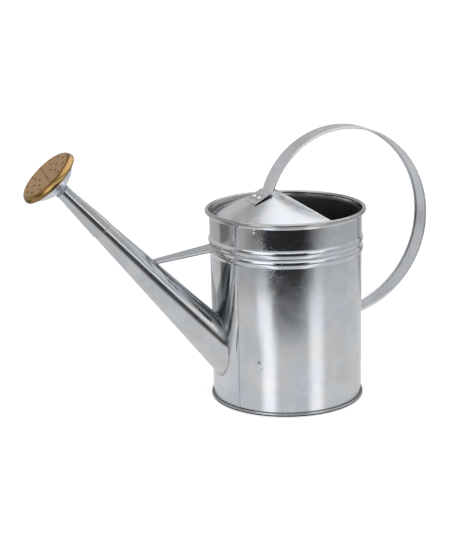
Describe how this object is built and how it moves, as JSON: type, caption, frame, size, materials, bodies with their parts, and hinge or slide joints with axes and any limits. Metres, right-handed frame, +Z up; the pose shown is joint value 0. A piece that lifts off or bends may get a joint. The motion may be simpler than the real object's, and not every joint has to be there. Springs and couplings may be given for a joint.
{
  "type": "watering can",
  "caption": "Round galvanised steel watering can with a long tapered spout, half-cone mouth cover, strap handle and a removable brass-faced rose.",
  "frame": {"origin": "centre of the base, on the surface that the can stands on", "axes": "+Z up, spout towards -X, handle towards +X, symmetry plane Y = 0"},
  "size_m": [0.5776, 0.222, 0.3731],
  "materials": {
    "galvanised": "hot-dip galvanised sheet, satin with soft spangle",
    "galvanised_bright": "bright galvanised sheet",
    "steel_wire": "drawn wire",
    "solder": "dull soft solder",
    "rivet": "zinc-plated rivet",
    "brass_face": "lacquered brass, slightly mottled",
    "brass_rim": "darker rolled brass edge",
    "rubber": "blue-grey rubber"
  },
  "bodies": {
    "can": {"body_shell": "galvanised", "rim_wire": "steel_wire", "base_pan": "galvanised", "base_solder": "solder", "cover_hood": "galvanised", "cover_solder": "solder", "spout_cone": "galvanised", "spout_sleeve": "galvanised", "sleeve_solder": "solder", "spout_solder": "solder", "brace_strut": "galvanised", "brace_solder": "solder", "handle_strap": "galvanised", "handle_top_rivets": "rivet", "handle_lower_rivets": "rivet"},
    "seal": {"rose_seal": "rubber"},
    "rose": {"rose_neck": "galvanised_bright", "rose_neck_solder": "solder", "rose_back": "galvanised_bright", "rose_face": "brass_face", "rose_rim": "brass_rim"}
  },
  "joints": [
    {"name": "rose_pull", "type": "slide", "parent": "can", "child": "seal", "axis": [-0.6704, 0, 0.742], "range_m": [0, 0.03]},
    {"name": "rose_twist", "type": "hinge", "parent": "seal", "child": "rose", "pos_m": [-0.3152, 0, 0.3209], "axis": [-0.6704, 0, 0.742], "continuous": true}
  ]
}
